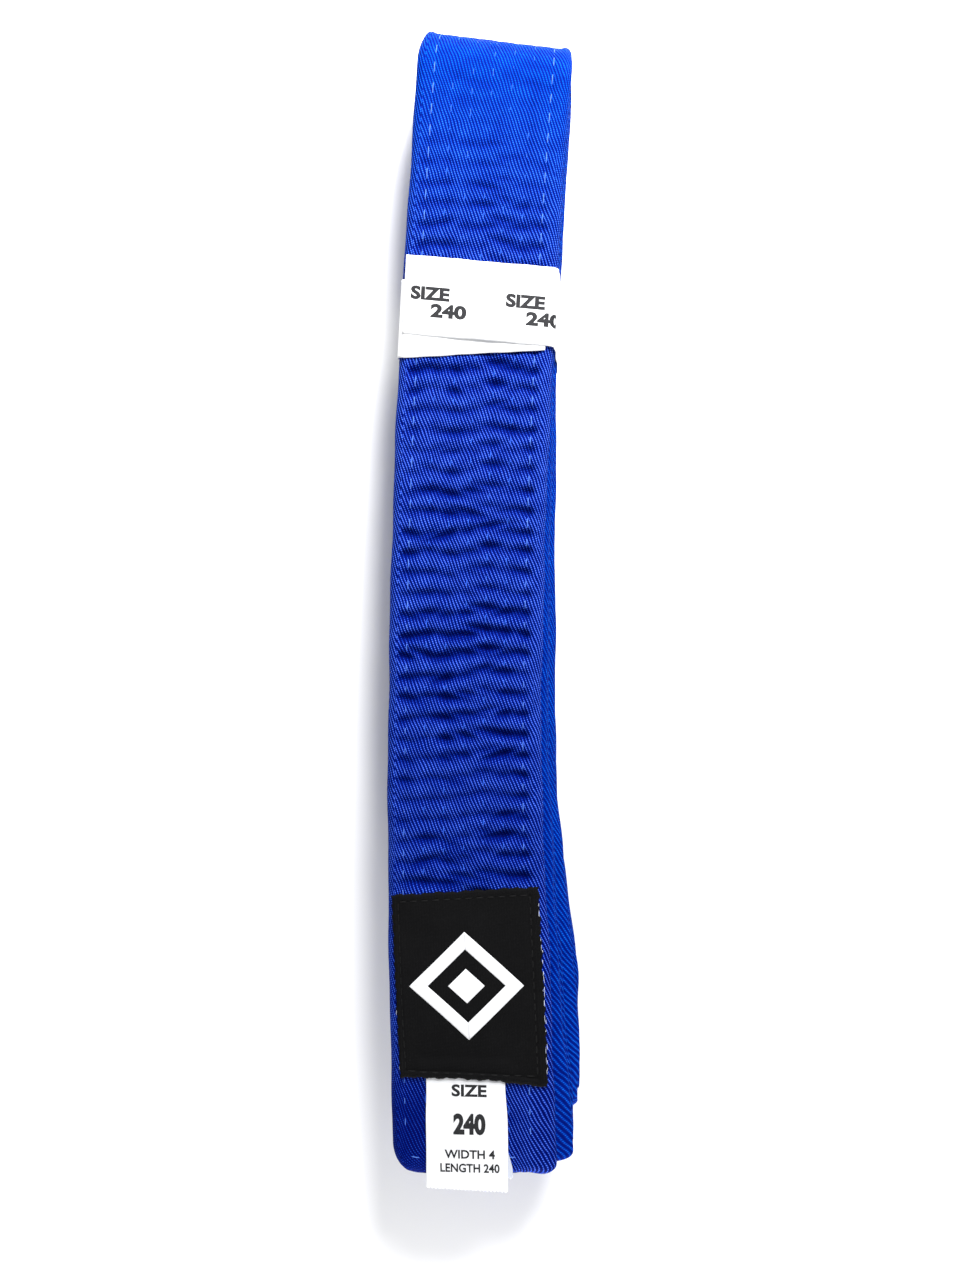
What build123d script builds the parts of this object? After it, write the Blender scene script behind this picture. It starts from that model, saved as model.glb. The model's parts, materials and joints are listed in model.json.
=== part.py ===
"""Martial arts belt, folded in half three times and held by a paper band.

Frame: +X across the belt, +Y along the bundle towards its folded end, +Z up, millimetres.
The origin is at the centre of the underside of the whole object.

The belt is a stitched strap: a twill cover sewn closed round four padding strips by seven rows
of lockstitch. Ply 1 is on top and ply 8 at the bottom. The near (-Y) end shows both tips and
three nested or single folds, and the far (+Y) end is four nested folds.
The length of ply 1 outside the paper band is the free end, which lifts about the line where it
leaves the band. It carries the patch and the size label.
"""

import os
from math import pi

from build123d import *

os.makedirs("parts", exist_ok=True)

# ---------------------------------------------------------------- driving dimensions
# Strap
belt_length = 2400.0
belt_width = 40.0
belt_thickness = 3.6
edge_radius = 1.1
cover_thickness = 0.45
core_layers = 4
core_layer_thickness = 0.6
cover_slit_width = 0.3
cover_slit_x = 12.7

# Stitching
stitch_rows = 7
row_pitch = 5.1
thread_width = 0.8
thread_depth = 0.3
tip_row_inset = 4.7

# Bundle
ply_count = 8
ply_gap = 0.4
loop_inset = 1.5
tip_corner_left = 8.0
tip_corner_right = 2.5

# Patch and label, placed from the tip of the free end
patch_width = 38.0
patch_length = 49.6
patch_turn = 2.4
patch_x = 0.2
patch_from_tip = 25.1
patch_thickness = 0.55
patch_hem_width = 1.6
patch_hem_rise = 0.3
patch_stitch_inset = 2.2
emblem_size = 22.0
emblem_stroke = 3.2
emblem_rise = 0.1
label_width = 20.0
label_x = -0.3
label_leaf_thickness = 0.2
label_overhang = 3.8
label_back_shift = 1.4
label_back_short = 2.6
label_tuck = 6.0
label_tuck_thickness = 0.3
label_hinge_gap = 1.5
print_thickness = 0.05

# Paper band
paper_thickness = 0.25
band_clearance = 0.2
band_length = 20.6
band_centre_y = 78.0
band_corner_radius = 1.4
band_flap_left = -17.5
band_inner_end = 15.0
glue_thickness = 0.1

# Line where the free end bends
hinge_y = 60.0
joint_clearance = 0.3
label_clearance = 0.25

# ---------------------------------------------------------------- derived places
ply_pitch = belt_thickness + ply_gap
half_thickness = belt_thickness / 2
fold_reach = (ply_count - 1) / 2 * ply_pitch + half_thickness
nest_reach = 1.5 * ply_pitch + half_thickness
middle_reach = 0.5 * ply_pitch + half_thickness

# The fold radii are 3.5, 2.5, 1.5 and 0.5 pitches at the far end, and 1.5, 0.5 and 0.5 at the near end.
arc_length = pi * ply_pitch * (3.5 + 2.5 + 1.5 + 0.5 + 1.5 + 0.5 + 0.5)
run_losses = 8 * fold_reach + 4 * (nest_reach + loop_inset) + 2 * (middle_reach + loop_inset)
bundle_length = (belt_length + run_losses - arc_length) / ply_count

half_length = (bundle_length + label_overhang) / 2
fold_end_y = half_length
tip_y = half_length - bundle_length
fold_centre_y = fold_end_y - fold_reach
nest_centre_y = tip_y + loop_inset + nest_reach
middle_centre_y = tip_y + loop_inset + middle_reach

belt_bottom_z = paper_thickness + band_clearance
top_ply_z = belt_bottom_z + half_thickness + (ply_count - 1) * ply_pitch
belt_top_z = top_ply_z + half_thickness

inner_thickness = belt_thickness - 2 * cover_thickness
inner_width = belt_width - 2 * cover_thickness
inner_radius = edge_radius - cover_thickness
core_pitch = inner_thickness / core_layers
row_places = [(n - (stitch_rows - 1) / 2) * row_pitch for n in range(stitch_rows)]
core_offsets = [(n - (core_layers - 1) / 2) * core_pitch for n in range(core_layers)]
thread_offset = half_thickness - thread_depth / 2
socket_radius = half_thickness + joint_clearance


def ply_z(ply):
    """Height of the middle of a ply, counted from the top."""
    return top_ply_z - (ply - 1) * ply_pitch


# Each fold joins two plies, about a centre at that Y: +1 bulges to +Y and -1 to -Y.
folds = [
    (1, 8, fold_centre_y, 1),
    (8, 5, nest_centre_y, -1),
    (5, 4, fold_centre_y, 1),
    (4, 3, middle_centre_y, -1),
    (3, 6, fold_centre_y, 1),
    (6, 7, nest_centre_y, -1),
    (7, 2, fold_centre_y, 1),
]


def strap_route(end_y):
    """The strap's middle line: from the hinge along ply 1, through every fold, to the end of ply 2."""
    here = (hinge_y, ply_z(1))
    for ply_a, ply_b, centre_y, bulge in folds:
        radius = abs(ply_a - ply_b) / 2 * ply_pitch
        start = (centre_y, ply_z(ply_a))
        middle = (centre_y + bulge * radius, (ply_z(ply_a) + ply_z(ply_b)) / 2)
        finish = (centre_y, ply_z(ply_b))
        Line(here, start)
        ThreePointArc(start, middle, finish)
        here = finish
    Line(here, (end_y, ply_z(2)))


# The strap's cross-section stands at the hinge, facing along the route, with its own Y upwards.
section_plane = Plane(origin=(0, hinge_y, top_ply_z), x_dir=(-1, 0, 0), z_dir=(0, 1, 0))
hinge_plane = Plane.YZ.offset(-belt_width)

with BuildLine(Plane.YZ) as cover_route:
    strap_route(tip_y)

with BuildLine(Plane.YZ) as core_route:
    strap_route(tip_y + cover_thickness)


def hinge_socket(wall):
    """Space that the rounded end of the free length turns in, grown by a wall thickness."""
    with BuildSketch(hinge_plane) as socket:
        with Locations((hinge_y, top_ply_z)):
            Circle(socket_radius + wall)
        with Locations((hinge_y + (socket_radius + wall) / 2, top_ply_z + half_thickness)):
            Rectangle(socket_radius + wall, belt_thickness)
    extrude(socket.sketch, amount=2 * belt_width, mode=Mode.SUBTRACT)


# ---------------------------------------------------------------- folded length of the strap
with BuildPart() as belt_cover:
    with BuildSketch(section_plane):
        RectangleRounded(belt_width, belt_thickness, edge_radius)
    sweep(path=cover_route.line)
    with BuildSketch(section_plane):
        RectangleRounded(inner_width, inner_thickness, inner_radius)
        with Locations((cover_slit_x, -(half_thickness - cover_thickness / 2))):
            Rectangle(cover_slit_width, cover_thickness)
    sweep(path=core_route.line, mode=Mode.SUBTRACT)
    for place in row_places:
        with BuildSketch(section_plane):
            with Locations((place, thread_offset), (place, -thread_offset)):
                Rectangle(thread_width, thread_depth)
        sweep(path=cover_route.line, mode=Mode.SUBTRACT)
    hinge_socket(0)

belt_cover.part.label = "belt_cover"
export_step(belt_cover.part, "parts/belt_cover.step")

for number, offset_z in enumerate(core_offsets, start=1):
    with BuildPart() as core_strip:
        with BuildSketch(section_plane):
            with Locations((0, -offset_z)):
                Rectangle(inner_width - 2 * inner_radius, core_layer_thickness)
        sweep(path=core_route.line)
        hinge_socket(cover_thickness)
    core_strip.part.label = f"padding_strip_{number}"
    export_step(core_strip.part, f"parts/padding_strip_{number}.step")

for number, place in enumerate(row_places, start=1):
    with BuildPart() as stitch_row:
        with BuildSketch(section_plane):
            with Locations((-place, thread_offset), (-place, -thread_offset)):
                Rectangle(thread_width, thread_depth)
        sweep(path=cover_route.line)
        hinge_socket(0)
    stitch_row.part.label = f"stitch_row_{number}"
    export_step(stitch_row.part, f"parts/stitch_row_{number}.step")

# ---------------------------------------------------------------- free end of the strap
end_middle_y = (hinge_y + tip_y) / 2
end_run = hinge_y - tip_y


def end_block(wall):
    """The free end's outline, shrunk by a wall: square tip corners and a round hinge end."""
    with BuildSketch(Plane.YZ.offset(-belt_width / 2 + wall)) as side:
        with Locations((end_middle_y + wall / 2, top_ply_z)):
            Rectangle(end_run - wall, belt_thickness - 2 * wall)
        with Locations((hinge_y, top_ply_z)):
            Circle(half_thickness - wall)
    extrude(side.sketch, amount=belt_width - 2 * wall)


with BuildPart() as end_cavity:
    end_block(cover_thickness)
    fillet(end_cavity.edges().filter_by(Axis.Z).sort_by(Axis.X)[0], tip_corner_left - cover_thickness)
    fillet(end_cavity.edges().filter_by(Axis.Z).sort_by(Axis.X)[-1], tip_corner_right - cover_thickness)

with BuildPart() as end_cover:
    end_block(0)
    fillet(end_cover.edges().filter_by(Axis.Z).sort_by(Axis.X)[0], tip_corner_left)
    fillet(end_cover.edges().filter_by(Axis.Z).sort_by(Axis.X)[-1], tip_corner_right)
    fillet(end_cover.edges().filter_by(Axis.Y).group_by(SortBy.LENGTH)[-1], edge_radius)
    add(end_cavity.part, mode=Mode.SUBTRACT)
    with Locations((-cover_slit_x, end_middle_y, top_ply_z - half_thickness + cover_thickness / 2)):
        Box(cover_slit_width, end_run - 4 * cover_thickness, cover_thickness, mode=Mode.SUBTRACT)
    for place in row_places:
        with Locations(
            (place, end_middle_y + tip_row_inset / 2, top_ply_z + thread_offset),
            (place, end_middle_y + tip_row_inset / 2, top_ply_z - thread_offset),
        ):
            Box(thread_width, end_run - tip_row_inset, thread_depth, mode=Mode.SUBTRACT)
    with Locations(
        (0, tip_y + tip_row_inset, top_ply_z + thread_offset),
        (0, tip_y + tip_row_inset, top_ply_z - thread_offset),
    ):
        Box(row_places[-1] * 2 + thread_width, thread_width, thread_depth, mode=Mode.SUBTRACT)

end_cover.part.label = "end_cover"
export_step(end_cover.part, "parts/end_cover.step")

for number, offset_z in enumerate(core_offsets, start=1):
    with BuildPart() as end_strip:
        with Locations((0, end_middle_y, top_ply_z - offset_z)):
            Box(belt_width, end_run + belt_width, core_layer_thickness)
        add(end_cavity.part, mode=Mode.INTERSECT)
    end_strip.part.label = f"end_padding_strip_{number}"
    export_step(end_strip.part, f"parts/end_padding_strip_{number}.step")

end_row_start = tip_y + tip_row_inset + thread_width / 2
for number, place in enumerate(row_places, start=1):
    with BuildPart() as end_row:
        with Locations(
            (place, (hinge_y + end_row_start) / 2, top_ply_z + thread_offset),
            (place, (hinge_y + end_row_start) / 2, top_ply_z - thread_offset),
        ):
            Box(thread_width, hinge_y - end_row_start, thread_depth)
    end_row.part.label = f"end_stitch_row_{number}"
    export_step(end_row.part, f"parts/end_stitch_row_{number}.step")

with BuildPart() as tip_stitching:
    with Locations(
        (0, tip_y + tip_row_inset, top_ply_z + thread_offset),
        (0, tip_y + tip_row_inset, top_ply_z - thread_offset),
    ):
        Box(row_places[-1] * 2 + thread_width, thread_width, thread_depth)

tip_stitching.part.label = "tip_stitching"
export_step(tip_stitching.part, "parts/tip_stitching.step")

# ---------------------------------------------------------------- patch on the free end
patch_edge_y = tip_y + patch_from_tip
patch_centre = (patch_x, patch_edge_y + patch_length / 2)
patch_plane = Plane(origin=(*patch_centre, belt_top_z)).rotated((0, 0, patch_turn))
patch_top_plane = patch_plane.offset(patch_thickness)
stitch_width = patch_width - 2 * patch_stitch_inset
stitch_length = patch_length - 2 * patch_stitch_inset
hem_inner_width = patch_width - 2 * patch_hem_width
hem_inner_length = patch_length - 2 * patch_hem_width
emblem_opening = emblem_size - 2 * emblem_stroke
label_root_y = patch_edge_y - label_hinge_gap
tuck_top_y = patch_edge_y + label_tuck

with BuildPart() as patch:
    with BuildSketch(patch_plane):
        Rectangle(patch_width, patch_length)
    extrude(amount=patch_thickness)
    with BuildSketch(patch_top_plane):
        Rectangle(patch_width, patch_length)
        Rectangle(hem_inner_width, hem_inner_length, mode=Mode.SUBTRACT)
    extrude(amount=patch_hem_rise)
    with BuildSketch(patch_top_plane):
        Rectangle(stitch_width, stitch_length)
        Rectangle(stitch_width - 2 * thread_depth, stitch_length - 2 * thread_depth, mode=Mode.SUBTRACT)
    extrude(amount=-print_thickness, mode=Mode.SUBTRACT)
    with BuildSketch(Plane.XY.offset(belt_top_z)):
        with Locations((label_x, patch_edge_y + label_tuck / 2 - label_hinge_gap)):
            Rectangle(label_width, label_tuck + 2 * label_hinge_gap)
    extrude(amount=label_tuck_thickness, mode=Mode.SUBTRACT)

patch.part.label = "patch"
export_step(patch.part, "parts/patch.step")

with BuildPart() as patch_emblem:
    with BuildSketch(patch_top_plane):
        Rectangle(emblem_size, emblem_size, rotation=45)
        Rectangle(emblem_opening, emblem_opening, rotation=45, mode=Mode.SUBTRACT)
        Rectangle(2 * emblem_stroke, 2 * emblem_stroke, rotation=45)
    extrude(amount=emblem_rise)

patch_emblem.part.label = "patch_emblem"
export_step(patch_emblem.part, "parts/patch_emblem.step")

with BuildPart() as patch_stitching:
    with BuildSketch(patch_top_plane):
        Rectangle(stitch_width, stitch_length)
        Rectangle(stitch_width - 2 * thread_depth, stitch_length - 2 * thread_depth, mode=Mode.SUBTRACT)
    extrude(amount=print_thickness, both=True)

patch_stitching.part.label = "patch_stitching"
export_step(patch_stitching.part, "parts/patch_stitching.step")

# ---------------------------------------------------------------- size label
label_end_y = tip_y - label_overhang
leaf_run = label_root_y - label_end_y
back_leaf_z = belt_top_z + label_clearance
front_leaf_z = back_leaf_z + label_leaf_thickness
back_leaf_end_y = label_end_y + label_back_short
print_rows = [(-6.0, 8.5, 2.6), (-12.2, 7.8, 4.8), (-17.9, 12.0, 2.0), (-21.4, 14.2, 2.0)]

with BuildPart() as label_seam_allowance:
    with BuildSketch(Plane.XY.offset(belt_top_z)):
        with Locations((label_x, (patch_edge_y + tuck_top_y) / 2)):
            Rectangle(label_width, label_tuck)
    extrude(amount=label_tuck_thickness)

label_seam_allowance.part.label = "label_seam_allowance"
export_step(label_seam_allowance.part, "parts/label_seam_allowance.step")

with BuildPart() as size_label:
    with BuildSketch(Plane.XY.offset(front_leaf_z)):
        with Locations((label_x, (label_root_y + label_end_y) / 2)):
            Rectangle(label_width, leaf_run)
    extrude(amount=label_leaf_thickness)

size_label.part.label = "size_label"
export_step(size_label.part, "parts/size_label.step")

with BuildPart() as label_back_leaf:
    with BuildSketch(Plane.XY.offset(back_leaf_z)):
        with Locations((label_x + label_back_shift, (label_root_y + back_leaf_end_y) / 2)):
            Rectangle(label_width, label_root_y - back_leaf_end_y)
    extrude(amount=label_leaf_thickness)

label_back_leaf.part.label = "label_back_leaf"
export_step(label_back_leaf.part, "parts/label_back_leaf.step")

with BuildPart() as label_print:
    with BuildSketch(Plane.XY.offset(front_leaf_z + label_leaf_thickness)):
        for drop, width, height in print_rows:
            with Locations((label_x, patch_edge_y + drop)):
                Rectangle(width, height)
    extrude(amount=print_thickness)

label_print.part.label = "label_print"
export_step(label_print.part, "parts/label_print.step")

# ---------------------------------------------------------------- paper band
band_side_x = belt_width / 2 + band_clearance + paper_thickness / 2
band_inner_z = belt_top_z + band_clearance + paper_thickness / 2
band_outer_z = band_inner_z + paper_thickness + glue_thickness
band_start_y = band_centre_y - band_length / 2
band_outer_top = band_outer_z + paper_thickness / 2
print_length = 13.0
print_height = 3.6
print_places = [(-9.0, 2.0), (14.0, -1.0)]
print_limit_x = band_side_x - band_corner_radius
band_start = Plane(origin=(band_flap_left, band_start_y, band_outer_z), x_dir=(0, 1, 0), z_dir=(1, 0, 0))
glue_z = band_inner_z + (paper_thickness + glue_thickness) / 2

with BuildPart() as paper_band:
    with BuildLine(Plane.XZ.offset(-band_start_y)) as band_route:
        FilletPolyline(
            (band_flap_left, band_outer_z),
            (band_side_x, band_outer_z),
            (band_side_x, paper_thickness / 2),
            (-band_side_x, paper_thickness / 2),
            (-band_side_x, band_inner_z),
            (band_inner_end, band_inner_z),
            radius=band_corner_radius,
        )
    with BuildSketch(band_start):
        with Locations((band_length / 2, 0)):
            Rectangle(band_length, paper_thickness)
    sweep(path=band_route.line)

paper_band.part.label = "paper_band"
export_step(paper_band.part, "parts/paper_band.step")

with BuildPart() as band_glue:
    with Locations((band_flap_left + 6, band_centre_y, glue_z)):
        Box(10, band_length - 6, glue_thickness)

band_glue.part.label = "band_glue"
export_step(band_glue.part, "parts/band_glue.step")

with BuildPart() as band_print:
    with BuildSketch(Plane.XY.offset(band_outer_top)):
        for place_x, place_y in print_places:
            with Locations((place_x, band_centre_y + place_y)):
                Rectangle(min(print_length, 2 * (print_limit_x - abs(place_x))), print_height)
    extrude(amount=print_thickness)

band_print.part.label = "band_print"
export_step(band_print.part, "parts/band_print.step")

print(f"bundle length {bundle_length:.1f}, tip at y {tip_y:.2f}, far fold at y {fold_end_y:.2f}")
print(f"top ply centre z {top_ply_z:.2f}, belt top z {belt_top_z:.2f}, label root y {label_root_y:.2f}")
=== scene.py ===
import json
import math

import bmesh
import bpy
import numpy as np
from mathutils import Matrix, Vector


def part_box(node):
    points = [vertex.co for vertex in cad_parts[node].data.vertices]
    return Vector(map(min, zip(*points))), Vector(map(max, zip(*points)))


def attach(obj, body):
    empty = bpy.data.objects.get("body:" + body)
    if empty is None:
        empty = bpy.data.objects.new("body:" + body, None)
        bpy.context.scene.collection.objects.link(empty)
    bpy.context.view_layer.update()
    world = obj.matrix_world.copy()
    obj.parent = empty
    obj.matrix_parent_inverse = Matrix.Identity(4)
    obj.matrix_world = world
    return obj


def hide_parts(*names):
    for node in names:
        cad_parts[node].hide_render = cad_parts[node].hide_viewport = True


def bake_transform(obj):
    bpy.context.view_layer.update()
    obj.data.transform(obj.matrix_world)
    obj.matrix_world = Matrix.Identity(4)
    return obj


# A folded martial arts belt: twill strap, stitching, woven patch, size label and paper band.
# Sizes are in millimetres until a mesh is made. Every piece is first laid out on a straight bundle,
# whose places come from the CAD frame, and then settled: the whole bundle bows a little sideways,
# its lower plies lie to the right and end short of the top one, its far fold is askew, and its near
# end spreads.

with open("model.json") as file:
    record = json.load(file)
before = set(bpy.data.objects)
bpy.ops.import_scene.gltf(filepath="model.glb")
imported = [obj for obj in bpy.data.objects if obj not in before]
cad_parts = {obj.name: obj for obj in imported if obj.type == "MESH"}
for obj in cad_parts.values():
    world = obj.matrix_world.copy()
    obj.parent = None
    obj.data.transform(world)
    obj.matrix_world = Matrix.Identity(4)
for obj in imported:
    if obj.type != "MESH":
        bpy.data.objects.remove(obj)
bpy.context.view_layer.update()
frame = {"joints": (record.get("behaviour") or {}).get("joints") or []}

MM = 0.001


def node_box(name):
    """Lowest and highest corners of a CAD node, in millimetres."""
    low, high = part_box(name)
    return np.array(low) / MM, np.array(high) / MM


# ---- places from the frame
cover_low, cover_high = node_box("belt_cover")
end_low, end_high = node_box("end_cover")
band_low, band_high = node_box("paper_band")
joints = {joint["name"]: joint for joint in frame["joints"]}

BELT_WIDTH = end_high[0] - end_low[0]
THICKNESS = end_high[2] - end_low[2]
HALF = THICKNESS / 2
PLIES = 8
BOTTOM_Z = cover_low[2]
TOP_Z = end_high[2]
STACK = TOP_Z - BOTTOM_Z
PITCH = (STACK - THICKNESS) / (PLIES - 1)
TIP_Y = end_low[1]
FOLD_Y = cover_high[1]
BUNDLE = FOLD_Y - TIP_Y
LABEL_ROOT_Y = joints["label_lift"]["pos_m"][1] / MM
LABEL_END_Y = node_box("size_label")[0][1]
BAND_Y = (band_low[1] + band_high[1]) / 2
BAND_LENGTH = band_high[1] - band_low[1]

# ---- strap
LOOP_INSET = 1.5
EDGE = 2.15
EDGE_POINT = 1.3
FLAT = BELT_WIDTH / 2 - EDGE
ROWS = 7
ROW_PITCH = 5.1
ROW_X = [(n - (ROWS - 1) / 2) * ROW_PITCH for n in range(ROWS)]
STITCH_PITCH = 5.4
THREAD_RADIUS = 0.12
INNER_THREAD_RADIUS = 0.11
TIP_ROW_INSET = 4.7
TIP_STITCH = 3.9
TIP_LEFT_RADIUS = 8.5
TIP_RIGHT_RADIUS = 2.5
TIP_ROUNDING = 2.4
CREASE_DEPTH = 1.1
CREASE_HALF = 2.35
CREASE_REACH = (2.2, 5.6)
LEFT_REACH = 1.8
ROW_GROOVE = 0.14
CHANNEL_PUFF = 0.14

# ---- how the bundle lies
BOW = 4.6
FAN = 6.6
WAIST = 0.02
NEAR_SWELL = 0.015
STRETCH = 0.014
NEAR_SPREAD = 0.06
NEAR_EDGE_SHIFT = 0.3
FOLD_PRESS = 0.88
FOLD_SLANT = 0.064
FOLD_NARROWING = 0.02
FOLD_CORNER = 1.0
SIDE_WAVE = 0.36
DEEP_FAN = 2.0
MIDDLE_FAN = 1.9
DEEP_SHORT = 8.0
MIDDLE_SHORT = 1.8

# ---- patch and label on the straight bundle
# The patch is sewn on askew, and its right side is stretched longer than its left.
PATCH_CORNERS = np.array([[-18.7, -77.3], [18.4, -74.8], [18.9, -126.6], [-16.5, -124.7]])
PATCH_THICKNESS = 0.55
HEM_WIDTH = 1.9
HEM_RISE = 0.22
PATCH_FLOAT = 0.16
PATCH_THREAD_RADIUS = 0.16
PATCH_STITCH = 2.7
FRAYS = 26
FRAYS_ON_RIGHT = 24
EMBLEM_SIDE = 20.0
EMBLEM_STROKE = 3.2
LABEL_WIDTH = 20.0
LABEL_TUCK = 5.0
LABEL_TOP_Y = -126.0
LABEL_SLOPE = -0.06
LABEL_ROOT_X = -0.1
LABEL_END_X = -0.6
LEAF = 0.14
TOOTH = 0.6
TOOTH_PITCH = 0.9
BACK_LEAF_SHIFT = 1.3
BACK_LEAF_SHORT = 3.4
LABEL_PRESSED = (-127.6, -125.4)
LEAF_PRESS = (0.22, 0.16)
LEAF_REST = (0.28, 0.2)
# Each line: words, baseline's drop below the patch, width, height, boldness
LABEL_LINES = [
    ("SIZE", 4.9, 8.6, 3.2, 0.032),
    ("240", 14.9, 7.9, 5.6, 0.05),
    ("WIDTH 4", 21.1, 12.3, 2.3, 0.024),
    ("LENGTH 240", 24.7, 14.5, 2.3, 0.024),
]

# ---- paper band
PAPER = 0.18
PAPER_GAP = 0.05
BAND_CLEAR = 0.33
BAND_BELOW = 0.24
BAND_ABOVE = 0.32
BAND_GAPE = 0.42
INK_RISE = 0.012
BAND_CORNER = 1.9
INNER_END_X = 18.0
OUTER_END_X = -19.3
# Each line: words, left end, width, baseline above the strip's middle, height
BAND_LINES = [
    ("SIZE", -17.6, 10.2, -1.1, 3.6),
    ("240", -12.2, 9.4, -5.5, 3.7),
    ("SIZE", 7.2, 10.2, -1.1, 3.6),
    ("240", 12.6, 9.4, -5.5, 3.7),
]


def smooth(x, low, high):
    """0 at low, 1 at high, smooth between; low may be the larger."""
    t = np.clip((x - low) / (high - low), 0, 1)
    return t * t * (3 - 2 * t)


def settle(points):
    """Straight bundle to lying bundle, for an array of points in millimetres."""
    x, y, z = points[..., 0], points[..., 1], points[..., 2]
    far_centre = FOLD_Y - 3.5 * PITCH - HALF
    y = np.where(y > far_centre, far_centre + (y - far_centre) * FOLD_PRESS, y)
    y = y + FOLD_CORNER * smooth(np.abs(x), 16.5, 19.5) * smooth(y, far_centre + 6, far_centre + 14)
    along = (FOLD_Y - y) / BUNDLE
    bow = BOW * (0.5 - 4 * along * (1 - along))
    lean = 4 * BOW * (1 - 2 * along) / BUNDLE + FOLD_SLANT * smooth(along, 0.16, 0.02)
    depth = np.clip((TOP_Z - z) / STACK, 0, 1)
    # The plies move in three groups: the top one, the middle ones and the deep ones
    deep = smooth(depth, 0.38, 0.62)
    below_top = smooth(depth, 0.06, 0.2)
    layers = 0.45 * below_top + 0.55 * deep
    at_band = np.exp(-(((y - BAND_Y) / 26) ** 2))
    fan = FAN * np.clip(along, 0, 0.86) ** 1.1 * layers * (1 - 0.5 * at_band)
    fan = fan + deep * (DEEP_FAN * smooth(along, 0.73, 0.86) - 2.0 * smooth(along, 0.9, 1.0))
    fan = fan + MIDDLE_FAN * (1 - deep) * below_top * smooth(along, 0.84, 0.98)
    side_wave = np.sin(y / 11 + 1 + 2 * depth) + 0.6 * np.sin(y / 5.3 + 3 * depth)
    fan = fan + SIDE_WAVE * side_wave * layers * smooth(along, 0.3, 0.8)
    spread = smooth(along, 0.6, 0.9)
    beyond = np.maximum(x - ROW_X[-1], 0) + np.minimum(x - ROW_X[0], 0)
    narrowing = FOLD_NARROWING * smooth(y, far_centre + 4, FOLD_Y - 3)
    wide = x * (1 + STRETCH + NEAR_SPREAD * spread - narrowing) + NEAR_EDGE_SHIFT * spread * np.abs(beyond)
    swell = 1 - WAIST * at_band + NEAR_SWELL * smooth(along, 0.72, 0.97)
    moved = np.empty(points.shape)
    moved[..., 0] = wide + bow + fan
    short = DEEP_SHORT * deep + MIDDLE_SHORT * (1 - deep) * below_top
    moved[..., 1] = y - x * lean + short * smooth(along, 0.8, 1.0)
    moved[..., 2] = BOTTOM_Z + (z - BOTTOM_Z) * swell
    return moved


# ---- meshes
def new_object(name, data):
    obj = bpy.data.objects.new(name, data)
    bpy.context.scene.collection.objects.link(obj)
    return obj


def make_object(name, points, faces, uv=None, painted_shade=None):
    """A settled mesh object from straight points. uv holds a pair for each corner of each face."""
    mesh = bpy.data.meshes.new(name)
    mesh.from_pydata((settle(np.asarray(points, float)) * MM).tolist(), [], faces)
    if uv is not None:
        layer = mesh.uv_layers.new(name="strap")
        layer.data.foreach_set("uv", np.asarray(uv, np.float32).ravel())
    if painted_shade is not None:
        attribute = mesh.attributes.new("painted_shade", "FLOAT", "POINT")
        attribute.data.foreach_set("value", np.asarray(painted_shade, np.float32).ravel())
    mesh.polygons.foreach_set("use_smooth", [True] * len(mesh.polygons))
    mesh.update()
    if signed_volume(mesh) < 0:
        mesh.flip_normals()
    return new_object(name, mesh)


def signed_volume(mesh):
    mesh.calc_loop_triangles()
    corners = np.empty(len(mesh.vertices) * 3)
    mesh.vertices.foreach_get("co", corners)
    corners = corners.reshape(-1, 3)
    triangles = np.empty(len(mesh.loop_triangles) * 3, np.int32)
    mesh.loop_triangles.foreach_get("vertices", triangles)
    a, b, c = (corners[triangles.reshape(-1, 3)[:, k]] for k in range(3))
    return float(np.einsum("ij,ij->i", a, np.cross(b, c)).sum())


def ring_faces(stations, around, closed=True):
    """Quads of a tube whose points run station by station, with the same count around each."""
    columns = around if closed else around - 1
    i, k = np.meshgrid(np.arange(stations - 1), np.arange(columns), indexing="ij")
    i, k = i.ravel(), k.ravel()
    following = (k + 1) % around
    first, second = i * around + k, i * around + following
    return np.stack([first, second, second + around, first + around], 1)


def slab_mesh(top, bottom):
    """Points and faces of a closed thin piece between two grids of points of the same shape."""
    rows, columns = top.shape[:2]
    size = rows * columns
    upper = ring_faces(rows, columns, closed=False)
    faces = upper.tolist() + (upper[:, ::-1] + size).tolist()
    edge = list(range(columns))
    edge += [r * columns + columns - 1 for r in range(1, rows)]
    edge += [(rows - 1) * columns + c for c in range(columns - 2, -1, -1)]
    edge += [r * columns for r in range(rows - 2, 0, -1)]
    faces += [[b, a, a + size, b + size] for a, b in zip(edge, edge[1:] + edge[:1])]
    return np.concatenate([top.reshape(-1, 3), bottom.reshape(-1, 3)]), faces


def slab(name, top, bottom):
    """An object of one closed thin piece."""
    return make_object(name, *slab_mesh(top, bottom))


def tubes(centre, radius, side_axis, up_axis, around):
    """Points and faces of separate closed tubes. centre is tubes by points by 3."""
    count, length = centre.shape[:2]
    angle = np.arange(around) / around * 2 * math.pi
    taper = np.sin(np.linspace(0.14, math.pi - 0.14, length)) ** 0.35
    turned = np.cos(angle)[:, None] * side_axis[:, :, None, :]
    turned = turned + np.sin(angle)[:, None] * up_axis[:, :, None, :]
    points = centre[:, :, None, :] + turned * (radius * taper)[None, :, None, None]
    one = ring_faces(length, around).tolist()
    one.append(list(range(around))[::-1])
    one.append(list(range((length - 1) * around, length * around)))
    faces = [[v + tube * length * around for v in face] for tube in range(count) for face in one]
    return points.reshape(-1, 3), faces


def pointing(centre, x, y, z):
    """One direction for every point of some tubes."""
    return np.broadcast_to(np.array([x, y, z], float), centre.shape)


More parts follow.
